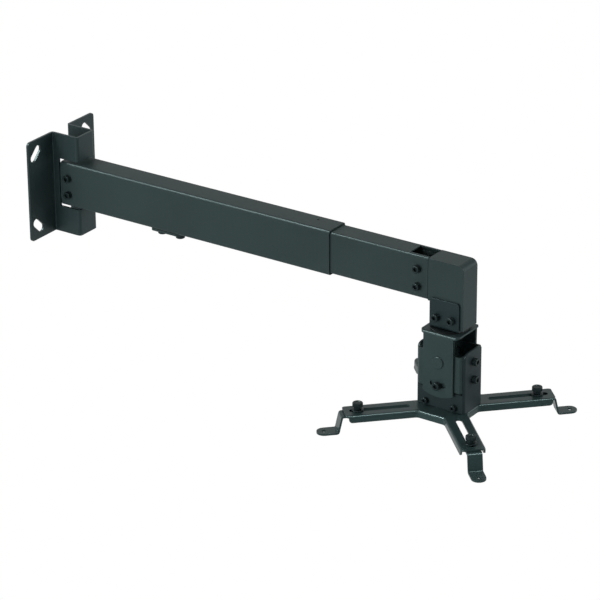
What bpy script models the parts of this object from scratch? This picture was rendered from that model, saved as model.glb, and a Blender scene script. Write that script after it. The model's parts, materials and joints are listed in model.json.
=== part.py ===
"""Projector wall mount: folded wall bracket, telescopic arm, elbow and a tilting head on a four-arm spider.

Metres. X runs out from the wall, Z is up, and the origin is on the wall plane at the middle of the bracket.
"""
import math

import bmesh
import bpy
from mathutils import Matrix, Vector

# Clearances
GAP = 0.0003                    # left between pieces that touch
HOLE_GAP = 0.0003               # round a shank in its hole, on the radius

# Wall bracket, one folded sheet
BRACKET_HEIGHT = 0.114
BRACKET_DEPTH = 0.036
BRACKET_SHEET = 0.0025
FLANGE_WIDTH = 0.042
FLANGE_CORNER = 0.004
WALL_SLOT_WIDTH = 0.0093
WALL_SLOT_LENGTH = 0.0205
WALL_SLOT_FROM_EDGE = 0.0125
WALL_SLOT_FROM_END = 0.0155
WINDOW_START = 0.010
WINDOW_ABOVE_TUBE = 0.0035
WINDOW_BELOW_TUBE = 0.002
TONGUE_SET_BACK = 0.003
TONGUE_BELOW_CORNER = 0.0025
BRACKET_BOLT_X = 0.022
BRACKET_BOLT_SPACING = 0.019
BRACKET_BOLT_DROP = 0.002

# Telescopic tubes
TUBE_WIDTH = 0.030
TUBE_HEIGHT = 0.050
TUBE_WALL = 0.0015
TUBE_CORNER = 0.003
INNER_TUBE_CORNER = 0.0024
OUTER_TUBE_START = 0.0115
OUTER_TUBE_LENGTH = 0.350
INNER_TUBE_LENGTH = 0.352
NOTCH_LENGTH = 0.023
NOTCH_WIDTH = 0.019
PILOT_HOLE = 0.0024
PILOT_FROM_END = 0.0268
PILOT_OFF_CENTER = 0.0045
ARM_REACH = 0.5225              # wall to the end of the elbow, as set
ARM_REACH_MIN = 0.4325
ARM_REACH_MAX = 0.6525

# Clamp under the outer tube
CLAMP_LENGTH = 0.036
CLAMP_WIDTH = 0.026
CLAMP_THICKNESS = 0.003
CLAMP_BAR_THICKNESS = 0.004
CLAMP_SCREW_SPACING = 0.0235
CLAMP_FROM_TUBE_END = 0.0205
CLAMP_SLOT_WIDTH = 0.0072

# Elbow
ELBOW_LENGTH = 0.0425
ELBOW_WIDTH = 0.026
ELBOW_DROP = 0.0482             # tube centre line to the lower edge
ELBOW_ROUND = 0.007
ELBOW_TAB = 0.021
ELBOW_STEP = 0.0037
TAB_SCREW_SPACING = 0.0193
TAB_SCREW_DROP = 0.001
TAB_SCREW_IN = 0.012

# Drop bracket and swivel
SHEET = 0.002
BEND = 0.001                    # inner radius of a fold
EAR_WIDTH = 0.035
EAR_HEIGHT = 0.030
EAR_CORNER = 0.003
EAR_SCREW_SPACING = 0.018
EAR_SCREW_UP = 0.0103
SWIVEL_SET_BACK = 0.00225       # swivel axis behind the middle of the elbow
SWIVEL_DISC_RADIUS = 0.0205
SWIVEL_DISC_THICKNESS = 0.001
SWIVEL_WASHER_RADIUS = 0.020
SWIVEL_WASHER_THICKNESS = 0.0006
SWIVEL_BOLT = 0.010
SWIVEL_HEAD = 0.016             # across flats
SWIVEL_HEAD_HEIGHT = 0.006
SWIVEL_NUT_HEIGHT = 0.008
SWIVEL_BOLT_END = 0.002         # past the nut

# Yoke, tilt frame and roll frame
YOKE_TOP_LENGTH = 0.0455
YOKE_TOP_CORNER = 0.0068
YOKE_WIDTH = 0.0446             # across the outer faces of the cheeks
YOKE_CHEEK = 0.0360
YOKE_REACH = 0.039              # tilt axis to the rounded lower edge
TILT_BELOW_YOKE = 0.0317        # top of the yoke down to the tilt axis
TILT_SLOT_RADIUS = 0.0255
TILT_RANGE = 15.0
ROLL_SLOT_RADIUS = 0.020
ROLL_RANGE = 3.5
FRAME_SLOT_WIDTH = 0.0054
TILT_FRAME_LENGTH = 0.0526
TILT_FRAME_TOP = 0.010          # above the tilt axis
TILT_FRAME_BOTTOM = 0.0302      # below the tilt axis
ROLL_FRAME_WIDTH = 0.0350
ROLL_PLATE_TOP = 0.013
ROLL_PLATE_CORNER = 0.008
PIVOT_HEAD = 0.013
PIVOT_HEAD_HEIGHT = 0.0012
ROLL_WALL_TOP = 0.0325
ROLL_FRAME_BOTTOM = 0.0532
FRAME_SCREW_SPACING = 0.034
FRAME_SCREW_UP = 0.0050
SADDLE_TAB = 0.015
SADDLE_PAST_SCREW = 0.005       # screw centre to the saddle's open end
SADDLE_RIVET_SPACING = 0.020

# Spider
ARM_SHEET = 0.0018
ARM_WIDTH = 0.026
ARM_REACH_OUT = 0.110           # head axis to the end of an arm
ARM_DEPTH = 0.0078
ARM_CORNER = 0.0042
FLANGE_WRAP = 0.25              # share of the corner that the flange follows
FLANGE_ROUND = 0.0036           # radius of the flange's lower end
HUB_HALF_X = 0.0290              # head axis to the hub's edge, along the arm and across it
HUB_HALF_Y = 0.0345
HUB_FILLET = 0.006
ARM_SLOT_WIDTH = 0.0066
ARM_SLOT_FROM_HUB = 0.015       # the hub's nearer edge to the centre of the slot's inner end
ARM_SLOT_FROM_END = 0.009
ARM_ANGLES = {"left": -135.0, "front": -45.0, "right": 45.0, "back": 135.0}
KNOB_FROM_END = {"left": 0.0145, "front": 0.0135, "right": 0.0170, "back": 0.0150}

# Feet and knobs
FOOT_WIDTH = 0.0156
FOOT_SHEET = 0.002
FOOT_TOP_LENGTH = 0.0174
FOOT_LEAN = 0.004
FOOT_DROP = 0.0180
FOOT_PAD_LENGTH = 0.0215
FOOT_HOLE = 0.0043
FOOT_COLLAR = 0.0100
FOOT_COLLAR_DEPTH = 0.0035
KNOB_WASHER_RADIUS = 0.0062
KNOB_WASHER_THICKNESS = 0.001
KNOB_RADIUS = 0.0055
KNOB_NECK = 0.0040
KNOB_NECK_HEIGHT = 0.0026
KNOB_HEIGHT = 0.0074
KNOB_RIDGE = 0.0004
RIVET_DOME = 0.0018

# Socket cap screws: shank diameter, head diameter, head height, socket across flats
M6 = (0.006, 0.010, 0.006, 0.005)
M5 = (0.005, 0.0085, 0.005, 0.004)
M4 = (0.004, 0.007, 0.004, 0.003)

# Sizes that follow from the ones above
HALF_TUBE_W = TUBE_WIDTH / 2
HALF_TUBE_H = TUBE_HEIGHT / 2
INNER_HALF_W = HALF_TUBE_W - TUBE_WALL - GAP
INNER_HALF_H = HALF_TUBE_H - TUBE_WALL - GAP
TUBE_CLEAR_X = ARM_REACH - ELBOW_LENGTH
INNER_TUBE_REAR = TUBE_CLEAR_X - INNER_TUBE_LENGTH
ELBOW_MIDDLE = ARM_REACH - ELBOW_LENGTH / 2
AXIS_X = ELBOW_MIDDLE - SWIVEL_SET_BACK
EAR_OUTER = ELBOW_WIDTH / 2 + GAP + SHEET
BASE_TOP = -ELBOW_DROP - GAP
BASE_BOTTOM = BASE_TOP - SHEET
DISC_TOP = BASE_BOTTOM - GAP
DISC_BOTTOM = DISC_TOP - SWIVEL_DISC_THICKNESS
WASHER_TOP = DISC_BOTTOM - GAP
WASHER_BOTTOM = WASHER_TOP - SWIVEL_WASHER_THICKNESS
YOKE_TOP = WASHER_BOTTOM - GAP
TILT_Z = YOKE_TOP - TILT_BELOW_YOKE
TILT_FRAME_WIDTH = YOKE_WIDTH - 2 * SHEET - 2 * GAP
ROLL_FRAME_LENGTH = TILT_FRAME_LENGTH + 2 * GAP + 2 * SHEET
SADDLE_LENGTH = FRAME_SCREW_SPACING + 2 * SADDLE_PAST_SCREW
SPIDER_TOP = TILT_Z - ROLL_FRAME_BOTTOM - GAP
FOOT_TOP = -ARM_SHEET - GAP     # below the top of the spider
ARM_SLOT_START = HUB_HALF_X + ARM_SLOT_FROM_HUB
ARM_SLOT_END = ARM_REACH_OUT - ARM_SLOT_FROM_END
KNOB_AT = {label: ARM_REACH_OUT - short for label, short in KNOB_FROM_END.items()}


def arc(center, radius, start, end, steps):
    """Points on an arc, angles in degrees."""
    turn = [math.radians(start + (end - start) * i / steps) for i in range(steps + 1)]
    return [(center[0] + radius * math.cos(a), center[1] + radius * math.sin(a)) for a in turn]


def circle(radius, sides=24, center=(0.0, 0.0)):
    """Corners of a round outline."""
    return arc(center, radius, 0, 360, sides)[:-1]


def rounded_box(length, width, corner, steps=4):
    """A rectangle with round corners about the origin."""
    x, y = length / 2 - corner, width / 2 - corner
    outline = []
    for center, start in (((x, y), 0), ((-x, y), 90), ((-x, -y), 180), ((x, -y), 270)):
        outline += arc(center, corner, start, start + 90, steps)
    return outline


def capsule(start, end, radius, steps=8):
    """A slot outline with round ends between two centres."""
    lean = math.degrees(math.atan2(end[1] - start[1], end[0] - start[0]))
    return arc(end, radius, lean - 90, lean + 90, steps) + arc(start, radius, lean + 90, lean + 270, steps)


def arc_slot(radius, half_angle, width, middle=-90.0, steps=6):
    """A slot bent round the origin."""
    first, last = middle - half_angle, middle + half_angle
    tip = (radius * math.cos(math.radians(last)), radius * math.sin(math.radians(last)))
    tail = (radius * math.cos(math.radians(first)), radius * math.sin(math.radians(first)))
    outline = arc((0, 0), radius + width / 2, first, last, steps)
    outline += arc(tip, width / 2, last, last + 180, steps)[1:]
    outline += arc((0, 0), radius - width / 2, last, first, steps)[1:]
    return outline + arc(tail, width / 2, first + 180, first + 360, steps)[1:-1]


def folded_section(path, thickness, inner_radius, steps=3):
    """The closed section of a sheet whose middle line follows path and turns with inner_radius."""
    middle = inner_radius + thickness / 2
    sides = ([], [])
    points = [Vector(p) for p in path]
    for index, point in enumerate(points):
        ahead = (points[min(index + 1, len(points) - 1)] - points[min(index, len(points) - 2)]).normalized()
        behind = (points[max(index, 1)] - points[max(index - 1, 0)]).normalized()
        if index in (0, len(points) - 1):
            normal = Vector((-ahead.y, ahead.x))
            sides[0].append(point + normal * thickness / 2)
            sides[1].append(point - normal * thickness / 2)
            continue
        turn = math.atan2(behind.x * ahead.y - behind.y * ahead.x, behind.dot(ahead))
        way = math.copysign(1.0, turn)
        reach = middle * math.tan(abs(turn) / 2)
        start_normal = Vector((-behind.y, behind.x)) * way
        center = point - behind * reach + start_normal * middle
        for step in range(steps + 1):
            spoke = -start_normal
            spoke.rotate(Matrix.Rotation(turn * step / steps, 2))
            sides[0].append(center + spoke * (middle - way * thickness / 2))
            sides[1].append(center + spoke * (middle + way * thickness / 2))
    return [tuple(p) for p in sides[0]] + [tuple(p) for p in reversed(sides[1])]


def mesh_object(name, bm, material=None, location=(0, 0, 0), turn=0.0):
    """Turn a bmesh into a placed object."""
    bmesh.ops.remove_doubles(bm, verts=bm.verts, dist=1e-7)
    bmesh.ops.recalc_face_normals(bm, faces=bm.faces)
    mesh = bpy.data.meshes.new(name)
    bm.to_mesh(mesh)
    bm.free()
    obj = bpy.data.objects.new(name, mesh)
    bpy.context.scene.collection.objects.link(obj)
    obj.location = location
    obj.rotation_euler = (0, 0, math.radians(turn))
    mesh.shade_smooth()
    mesh.set_sharp_from_angle(angle=math.radians(35))
    if material:
        mesh.materials.append(material)
    return obj


def along(axis, point, level):
    """A point of an outline lifted to its level along X, Y or Z."""
    u, v = point
    return {"X": (level, u, v), "Y": (u, level, v), "Z": (u, v, level)}[axis]


def loft_mesh(loops):
    """A closed skin through loops with the same number of points, with flat ends."""
    bm = bmesh.new()
    rings = [[bm.verts.new(p) for p in loop] for loop in loops]
    for lower, upper in zip(rings, rings[1:]):
        for i in range(len(lower)):
            j = (i + 1) % len(lower)
            bm.faces.new((lower[i], lower[j], upper[j], upper[i]))
    bm.faces.new(rings[0])
    bm.faces.new(rings[-1])
    return bm


def prism_mesh(outline, axis, low, high):
    """An outline extruded along an axis."""
    return loft_mesh([[along(axis, p, level) for p in outline] for level in (low, high)])


def plate_mesh(outline, holes, axis, low, high):
    """A flat plate with holes cut through it."""
    bm = bmesh.new()
    edges = []
    for loop in [outline] + holes:
        ring = [bm.verts.new(along(axis, p, low)) for p in loop]
        edges += [bm.edges.new((ring[i - 1], ring[i])) for i in range(len(ring))]
    filled = bmesh.ops.triangle_fill(bm, use_beauty=True, use_dissolve=False, edges=edges)
    faces = [g for g in filled["geom"] if isinstance(g, bmesh.types.BMFace)]
    raised = bmesh.ops.extrude_face_region(bm, geom=faces, use_keep_orig=True)
    lifted = [g for g in raised["geom"] if isinstance(g, bmesh.types.BMVert)]
    bmesh.ops.translate(bm, verts=lifted, vec=Vector(along(axis, (0, 0), high - low)))
    return bm


def combine(target, name, bm, operation="DIFFERENCE"):
    """Cut, trim or join a piece with a hidden helper shape that shares its place."""
    helper = mesh_object(f"{target.name}_{name}", bm)
    helper.matrix_basis = target.matrix_basis.copy()
    helper.hide_render = True
    helper.display_type = "WIRE"
    step = target.modifiers.new(name, "BOOLEAN")
    step.operation = operation
    step.solver = "EXACT"
    step.object = helper


def drill(target, name, axis, centers, radius, low, high, sides=18):
    """Round holes through a piece."""
    for index, center in enumerate(centers, 1):
        combine(target, f"{name}_{index}", prism_mesh(circle(radius, sides, center), axis, low, high))


def paint(name, color, roughness, metallic):
    """A plain finish."""
    material = bpy.data.materials.new(name)
    material.use_nodes = True
    shader = material.node_tree.nodes["Principled BSDF"]
    shader.inputs["Base Color"].default_value = (*color, 1)
    shader.inputs["Roughness"].default_value = roughness
    shader.inputs["Metallic"].default_value = metallic
    return material


def tube_mesh(half_width, half_height, wall, corner, start, end):
    """A square tube along X with round corners."""
    outer = rounded_box(2 * half_width, 2 * half_height, corner)
    inner = rounded_box(2 * (half_width - wall), 2 * (half_height - wall), corner - wall)
    return plate_mesh(outer, [inner], "X", start, end)


def screw(name, size, grip, spot, outward, material, sides=18):
    """A socket cap screw: head on the surface at spot, shank going in by grip."""
    shank, head, height, socket = size
    hexagon = [Vector(p) for p in circle(socket / math.sqrt(3), 6)]
    per_side = sides // 6
    hex_ring = [tuple(hexagon[i].lerp(hexagon[(i + 1) % 6], k / per_side))
                for i in range(6) for k in range(per_side)]
    rim = head / 2 - height * 0.08
    profile = [
        (hex_ring, height * 0.45),
        (hex_ring, height),
        (circle(rim, sides), height),
        (circle(head / 2, sides), height * 0.92),
        (circle(head / 2, sides), 0.0),
        (circle(shank / 2, sides), 0.0),
        (circle(shank / 2, sides), -grip),
    ]
    obj = mesh_object(name, loft_mesh([[(u, v, z) for u, v in ring] for ring, z in profile]), material)
    obj.matrix_world = Matrix.Translation(spot) @ Vector(outward).to_track_quat("Z", "Y").to_matrix().to_4x4()
    return obj


def pivot_pin(name, grip, spot, outward, material):
    """A plain pin with a low flat head, for the tilt axis."""
    head, shank = PIVOT_HEAD / 2, M6[0] / 2
    profile = [(head - 0.0005, PIVOT_HEAD_HEIGHT), (head, PIVOT_HEAD_HEIGHT - 0.0005), (head, 0.0),
               (shank, 0.0), (shank, -grip)]
    obj = mesh_object(name, lathe_mesh(profile), material)
    obj.matrix_world = Matrix.Translation(spot) @ Vector(outward).to_track_quat("Z", "Y").to_matrix().to_4x4()


def lathe_mesh(profile, sides=24):
    """A turned piece from radius and height pairs."""
    return loft_mesh([[(u, v, z) for u, v in circle(r, sides)] for r, z in profile])


def wall_bracket(material):
    """Hat section with slotted flanges, a window for the tube and two tongues set inside it."""
    t = BRACKET_SHEET
    half_hat = HALF_TUBE_W - t / 2
    half_height = BRACKET_HEIGHT / 2
    edge = HALF_TUBE_W + FLANGE_WIDTH
    path = [(t / 2, -edge), (t / 2, -half_hat), (BRACKET_DEPTH - t / 2, -half_hat)]
    path += [(x, -y) for x, y in reversed(path)]
    section = folded_section(path, t, BEND)
    obj = mesh_object("wall_bracket", prism_mesh(section, "Z", -half_height, half_height), material)

    window_top = HALF_TUBE_H + WINDOW_ABOVE_TUBE
    window_bottom = -HALF_TUBE_H - WINDOW_BELOW_TUBE
    window = [(WINDOW_START, window_bottom), (2 * BRACKET_DEPTH, window_bottom),
              (2 * BRACKET_DEPTH, window_top), (WINDOW_START, window_top)]
    combine(obj, "window", prism_mesh(window, "Y", -HALF_TUBE_W - t, HALF_TUBE_W + t))

    corners = rounded_box(2 * edge, BRACKET_HEIGHT, FLANGE_CORNER)
    combine(obj, "corners", prism_mesh(corners, "X", -t, BRACKET_DEPTH + t), "INTERSECT")

    reach = (WALL_SLOT_LENGTH - WALL_SLOT_WIDTH) / 2 * math.sqrt(0.5)
    y = edge - WALL_SLOT_FROM_EDGE
    z = half_height - WALL_SLOT_FROM_END
    for number, (side, end) in enumerate(((-1, 1), (-1, -1), (1, 1), (1, -1)), 1):
        slot = capsule((side * (y + reach), end * (z - reach)), (side * (y - reach), end * (z + reach)),
                       WALL_SLOT_WIDTH / 2)
        combine(obj, f"slot_{number}", prism_mesh(slot, "X", -t, 2 * t))

    tongue_middle = HALF_TUBE_W - TUBE_WALL - GAP - t / 2
    half_tongue = HALF_TUBE_H - TUBE_WALL - TUBE_CORNER - TONGUE_BELOW_CORNER
    slim = t - 0.0002
    for side, label in ((-1, "near"), (1, "far")):
        bend = [(t + 0.002, side * half_hat), (OUTER_TUBE_START - 0.004, side * half_hat),
                (OUTER_TUBE_START - 0.001, side * tongue_middle),
                (BRACKET_DEPTH - TONGUE_SET_BACK, side * tongue_middle)]
        tongue = prism_mesh(folded_section(bend, slim, BEND), "Z", -half_tongue, half_tongue)
        combine(obj, f"tongue_{label}", tongue, "UNION")
    half_span = BRACKET_BOLT_SPACING / 2
    centers = [(BRACKET_BOLT_X, sign * half_span - BRACKET_BOLT_DROP) for sign in (1, -1)]
    drill(obj, "bolt_hole", "Y", centers, M5[0] / 2 + HOLE_GAP, -HALF_TUBE_W, HALF_TUBE_W)


def bracket_bolts(material):
    """Four bolts through the tube and the tongues."""
    number = 0
    for side in (-1, 1):
        for sign in (1, -1):
            number += 1
            z = sign * BRACKET_BOLT_SPACING / 2 - BRACKET_BOLT_DROP
            spot = (BRACKET_BOLT_X, side * (HALF_TUBE_W + GAP), z)
            screw(f"bracket_bolt_{number}", M5, TUBE_WALL + BRACKET_SHEET + 0.0035, spot, (0, side, 0), material)


def outer_tube(material):
    """The fixed tube, slotted underneath for the clamp."""
    end = OUTER_TUBE_START + OUTER_TUBE_LENGTH
    obj = mesh_object("outer_tube", tube_mesh(HALF_TUBE_W, HALF_TUBE_H, TUBE_WALL, TUBE_CORNER,
                                              OUTER_TUBE_START, end), material)
    centers = [(BRACKET_BOLT_X, sign * BRACKET_BOLT_SPACING / 2 - BRACKET_BOLT_DROP) for sign in (1, -1)]
    drill(obj, "bolt_hole", "Y", centers, M5[0] / 2 + HOLE_GAP, -2 * HALF_TUBE_W, 2 * HALF_TUBE_W)
    drill(obj, "pilot_hole", "Z", [(end - PILOT_FROM_END, PILOT_OFF_CENTER)], PILOT_HOLE / 2, HALF_TUBE_H / 2,
          2 * HALF_TUBE_H, 12)
    rear, front = clamp_screw_places()
    first = rear + ARM_REACH_MIN - ARM_REACH
    last = front + ARM_REACH_MAX - ARM_REACH
    slot = capsule((first, 0), (last, 0), CLAMP_SLOT_WIDTH / 2)
    combine(obj, "clamp_slot", prism_mesh(slot, "Z", -2 * HALF_TUBE_H, -HALF_TUBE_H / 2))


def clamp_screw_places():
    """Where the two clamp screws stand along the arm."""
    middle = INNER_TUBE_REAR + CLAMP_FROM_TUBE_END
    return middle - CLAMP_SCREW_SPACING / 2, middle + CLAMP_SCREW_SPACING / 2


def clamp(steel, black):
    """Plate under the tube, its two screws and the threaded bar inside the inner tube."""
    rear, front = clamp_screw_places()
    middle = (rear + front) / 2
    holes = [circle(M6[0] / 2 + HOLE_GAP, 16, (x - middle, 0)) for x in (rear, front)]
    plate = plate_mesh(rounded_box(CLAMP_LENGTH, CLAMP_WIDTH, 0.003), holes, "Z", -CLAMP_THICKNESS, 0)
    mesh_object("clamp_plate", plate, steel, (middle, 0, -HALF_TUBE_H - GAP))
    bar_bottom = -INNER_HALF_H + TUBE_WALL + GAP
    bar_width = 2 * (INNER_HALF_W - TUBE_CORNER) - 0.004
    bar = plate_mesh(rounded_box(CLAMP_LENGTH, bar_width, 0.001, 2), holes, "Z", 0, CLAMP_BAR_THICKNESS)
    mesh_object("clamp_bar", bar, black, (middle, 0, bar_bottom))
    head_at = -HALF_TUBE_H - GAP - CLAMP_THICKNESS - GAP
    grip = bar_bottom + CLAMP_BAR_THICKNESS + 0.002 - head_at
    for name, x in (("clamp_screw_rear", rear), ("clamp_screw_front", front)):
        screw(name, M6, grip, (x, 0, head_at), (0, 0, -1), black)


def inner_tube(material):
    """The sliding tube, with a notch for cables and holes for the clamp and the elbow."""
    obj = mesh_object("inner_tube", tube_mesh(INNER_HALF_W, INNER_HALF_H, TUBE_WALL, INNER_TUBE_CORNER,
                                              INNER_TUBE_REAR, TUBE_CLEAR_X), material)
    notch = rounded_box(2 * NOTCH_LENGTH, NOTCH_WIDTH, 0.001, 2)
    notch = [(x + TUBE_CLEAR_X, y) for x, y in notch]
    combine(obj, "notch", prism_mesh(notch, "Z", INNER_HALF_H / 2, 2 * INNER_HALF_H))
    drill(obj, "clamp_hole", "Z", [(x, 0) for x in clamp_screw_places()], M6[0] / 2 + HOLE_GAP,
          -2 * INNER_HALF_H, -INNER_HALF_H / 2)
    drill(obj, "tab_hole", "Y", tab_screw_places(), M5[0] / 2 + HOLE_GAP, -2 * INNER_HALF_W, 2 * INNER_HALF_W)


def tab_screw_places():
    """Where the screws of the elbow's tabs stand, seen from the side."""
    x, half = TUBE_CLEAR_X - TAB_SCREW_IN, TAB_SCREW_SPACING / 2
    return [(x, half - TAB_SCREW_DROP), (x, -half - TAB_SCREW_DROP)]


def ear_screw_places():
    """Where the screws of the drop bracket stand, seen from the side."""
    z = BASE_TOP + EAR_SCREW_UP
    return [(ELBOW_MIDDLE - EAR_SCREW_SPACING / 2, z), (ELBOW_MIDDLE + EAR_SCREW_SPACING / 2, z)]


def elbow_outline(inset):
    """The elbow from the side: round top corner, step under the tube, open below and behind when inset."""
    left = TUBE_CLEAR_X + GAP
    right = ARM_REACH - inset
    top = INNER_HALF_H - 0.0006 - inset
    radius = ELBOW_ROUND - inset
    round_corner = arc((right - radius, top - radius), radius, 0, 90, 5)
    if inset:
        left -= ELBOW_LENGTH
        bottom = -2 * ELBOW_DROP
        return [(right, bottom)] + round_corner + [(left, top), (left, bottom)]
    low = -ELBOW_DROP
    step = -INNER_HALF_H - GAP
    return ([(right, low)] + round_corner + [(left, top), (left, step)]
            + [(left + ELBOW_STEP, step), (left + ELBOW_STEP, low)])


def elbow(material):
    """A formed cap with two tabs that slip inside the tube."""
    half = ELBOW_WIDTH / 2
    obj = mesh_object("elbow", prism_mesh(elbow_outline(0), "Y", -half, half), material)
    combine(obj, "hollow", prism_mesh(elbow_outline(SHEET), "Y", -half + SHEET, half - SHEET))
    tab_middle = INNER_HALF_W - TUBE_WALL - GAP - SHEET / 2
    half_tab = INNER_HALF_H - TUBE_WALL - 0.003
    slim = SHEET - 0.0002
    for side, label in ((-1, "near"), (1, "far")):
        wall_middle = side * (half - SHEET / 2)
        bend = [(TUBE_CLEAR_X + 0.006, wall_middle), (TUBE_CLEAR_X + 0.0035, wall_middle),
                (TUBE_CLEAR_X - 0.0005, side * tab_middle), (TUBE_CLEAR_X - ELBOW_TAB, side * tab_middle)]
        tab = prism_mesh(folded_section(bend, slim, BEND), "Z", -half_tab, half_tab)
        combine(obj, f"tab_{label}", tab, "UNION")
    drill(obj, "tab_hole", "Y", tab_screw_places(), M5[0] / 2 + HOLE_GAP, -half, half)
    drill(obj, "ear_hole", "Y", ear_screw_places(), M5[0] / 2 + HOLE_GAP, -2 * half, 2 * half)


def elbow_screws(material):
    """Two screws a side in the tube's end and two a side in the drop bracket."""
    rows = (("elbow_screw", tab_screw_places(), INNER_HALF_W, TUBE_WALL + SHEET + 0.003),
            ("drop_screw", ear_screw_places(), EAR_OUTER, 2 * SHEET + 0.003))
    for name, places, face, grip in rows:
        number = 0
        for side in (-1, 1):
            for x, z in places:
                number += 1
                screw(f"{name}_{number}", M5, grip, (x, side * (face + GAP), z), (0, side, 0), material)


def drop_bracket(material):
    """A U that grips the elbow from outside, with the swivel bolt through its base."""
    outer = EAR_OUTER - SHEET / 2
    ear_top = BASE_TOP + EAR_HEIGHT
    base = BASE_TOP - SHEET / 2
    path = [(-outer, ear_top), (-outer, base), (outer, base), (outer, ear_top)]
    section = folded_section(path, SHEET, BEND / 2)
    low, high = ELBOW_MIDDLE - EAR_WIDTH / 2, ELBOW_MIDDLE + EAR_WIDTH / 2
    obj = mesh_object("drop_bracket", prism_mesh(section, "X", low, high), material)
    ear = rounded_box(EAR_WIDTH, 2 * EAR_HEIGHT, EAR_CORNER)
    ear = [(x + ELBOW_MIDDLE, z + BASE_TOP) for x, z in ear]
    combine(obj, "ear_corners", prism_mesh(ear, "Y", -2 * EAR_OUTER, 2 * EAR_OUTER), "INTERSECT")
    drill(obj, "screw_hole", "Y", ear_screw_places(), M5[0] / 2 + HOLE_GAP, -2 * EAR_OUTER, 2 * EAR_OUTER)
    drill(obj, "swivel_hole", "Z", [(AXIS_X, 0)], SWIVEL_BOLT / 2 + HOLE_GAP, BASE_BOTTOM - SHEET,
          BASE_TOP + SHEET)


def swivel(black, nylon):
    """The disc under the bracket, the slip washer, and the bolt and nut the head turns on."""
    bore = circle(SWIVEL_BOLT / 2 + HOLE_GAP, 18)
    disc = plate_mesh(circle(SWIVEL_DISC_RADIUS, 40), [bore], "Z", DISC_BOTTOM, DISC_TOP)
    mesh_object("swivel_disc", disc, black, (AXIS_X, 0, 0))
    washer = plate_mesh(circle(SWIVEL_WASHER_RADIUS, 32), [bore], "Z", WASHER_BOTTOM, WASHER_TOP)
    mesh_object("swivel_washer", washer, nylon, (AXIS_X, 0, 0))
    nut_top = YOKE_TOP - SHEET - GAP
    nut_bottom = nut_top - SWIVEL_NUT_HEIGHT
    head = BASE_TOP + GAP
    shank = circle(SWIVEL_BOLT / 2, 18)
    hexagon = [Vector(p) for p in circle(SWIVEL_HEAD / math.sqrt(3), 6)]
    hex_ring = [tuple(hexagon[i].lerp(hexagon[(i + 1) % 6], k / 3)) for i in range(6) for k in range(3)]
    rings = [(hex_ring, head + SWIVEL_HEAD_HEIGHT), (hex_ring, head), (shank, head),
             (shank, nut_bottom - SWIVEL_BOLT_END)]
    bolt = loft_mesh([[(u, v, z) for u, v in ring] for ring, z in rings])
    mesh_object("swivel_bolt", bolt, black, (AXIS_X, 0, 0))
    nut = plate_mesh([tuple(p) for p in hexagon], [bore], "Z", nut_bottom, nut_top)
    mesh_object("swivel_nut", nut, black, (AXIS_X, 0, 0))


def yoke(material):
    """An inverted U: a round-cornered top that juts out past the cheeks, which carry the tilt axis."""
    half = YOKE_WIDTH / 2 - SHEET / 2
    top = TILT_BELOW_YOKE - SHEET / 2
    path = [(-half, -2 * YOKE_REACH), (-half, top), (half, top), (half, -2 * YOKE_REACH)]
    section = folded_section(path, SHEET, BEND)
    place = (AXIS_X, 0, TILT_Z)
    bent = prism_mesh(section, "X", -YOKE_TOP_LENGTH / 2, YOKE_TOP_LENGTH / 2)
    obj = mesh_object("yoke", bent, material, place)
    blank = rounded_box(YOKE_TOP_LENGTH + 2 * GAP, YOKE_WIDTH + 2 * GAP, YOKE_TOP_CORNER)
    combine(obj, "blank", prism_mesh(blank, "Z", -3 * YOKE_REACH, 2 * TILT_BELOW_YOKE), "INTERSECT")
    cheek = YOKE_CHEEK / 2
    shoulder = TILT_BELOW_YOKE - SHEET - BEND
    low = math.degrees(math.acos(cheek / YOKE_REACH))
    outline = arc((0, 0), YOKE_REACH, -180 + low, -low, 10)
    outline += [(cheek, shoulder), (2 * cheek, shoulder), (2 * cheek, 2 * TILT_BELOW_YOKE)]
    outline += [(-2 * cheek, 2 * TILT_BELOW_YOKE), (-2 * cheek, shoulder), (-cheek, shoulder)]
    combine(obj, "cheeks", prism_mesh(outline, "Y", -YOKE_WIDTH, YOKE_WIDTH), "INTERSECT")
    drill(obj, "pivot_hole", "Y", [(0, 0)], M6[0] / 2 + HOLE_GAP, -YOKE_WIDTH, YOKE_WIDTH)
    slot = arc_slot(TILT_SLOT_RADIUS, TILT_RANGE + slot_play(TILT_SLOT_RADIUS), FRAME_SLOT_WIDTH)
    combine(obj, "tilt_slot", prism_mesh(slot, "Y", -YOKE_WIDTH, YOKE_WIDTH))
    drill(obj, "swivel_hole", "Z", [(0, 0)], SWIVEL_BOLT / 2 + HOLE_GAP, shoulder - SHEET,
          TILT_BELOW_YOKE + SHEET)


def slot_play(radius):
    """Degrees of clearance at each end of a curved slot."""
    return math.degrees(GAP / radius)


def ring_mesh(length, width, corner, low, high):
    """A strip folded into a rectangular ring."""
    inner = rounded_box(length - 2 * SHEET, width - 2 * SHEET, corner - SHEET)
    return plate_mesh(rounded_box(length, width, corner), [inner], "Z", low, high)


def tilt_frame(material):
    """The ring between the yoke and the roll frame."""
    place = (AXIS_X, 0, TILT_Z)
    ring = ring_mesh(TILT_FRAME_LENGTH, TILT_FRAME_WIDTH, SHEET + BEND, -TILT_FRAME_BOTTOM, TILT_FRAME_TOP)
    obj = mesh_object("tilt_frame", ring, material, place)
    drill(obj, "tilt_pivot_hole", "Y", [(0, 0)], M6[0] / 2 + HOLE_GAP, -TILT_FRAME_WIDTH, TILT_FRAME_WIDTH)
    drill(obj, "tilt_bolt_hole", "Y", [(0, -TILT_SLOT_RADIUS)], M5[0] / 2 + HOLE_GAP, -TILT_FRAME_WIDTH,
          TILT_FRAME_WIDTH)
    drill(obj, "roll_hole", "X", [(0, 0), (0, -ROLL_SLOT_RADIUS)], M5[0] / 2 + HOLE_GAP, -TILT_FRAME_LENGTH,
          TILT_FRAME_LENGTH)


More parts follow.
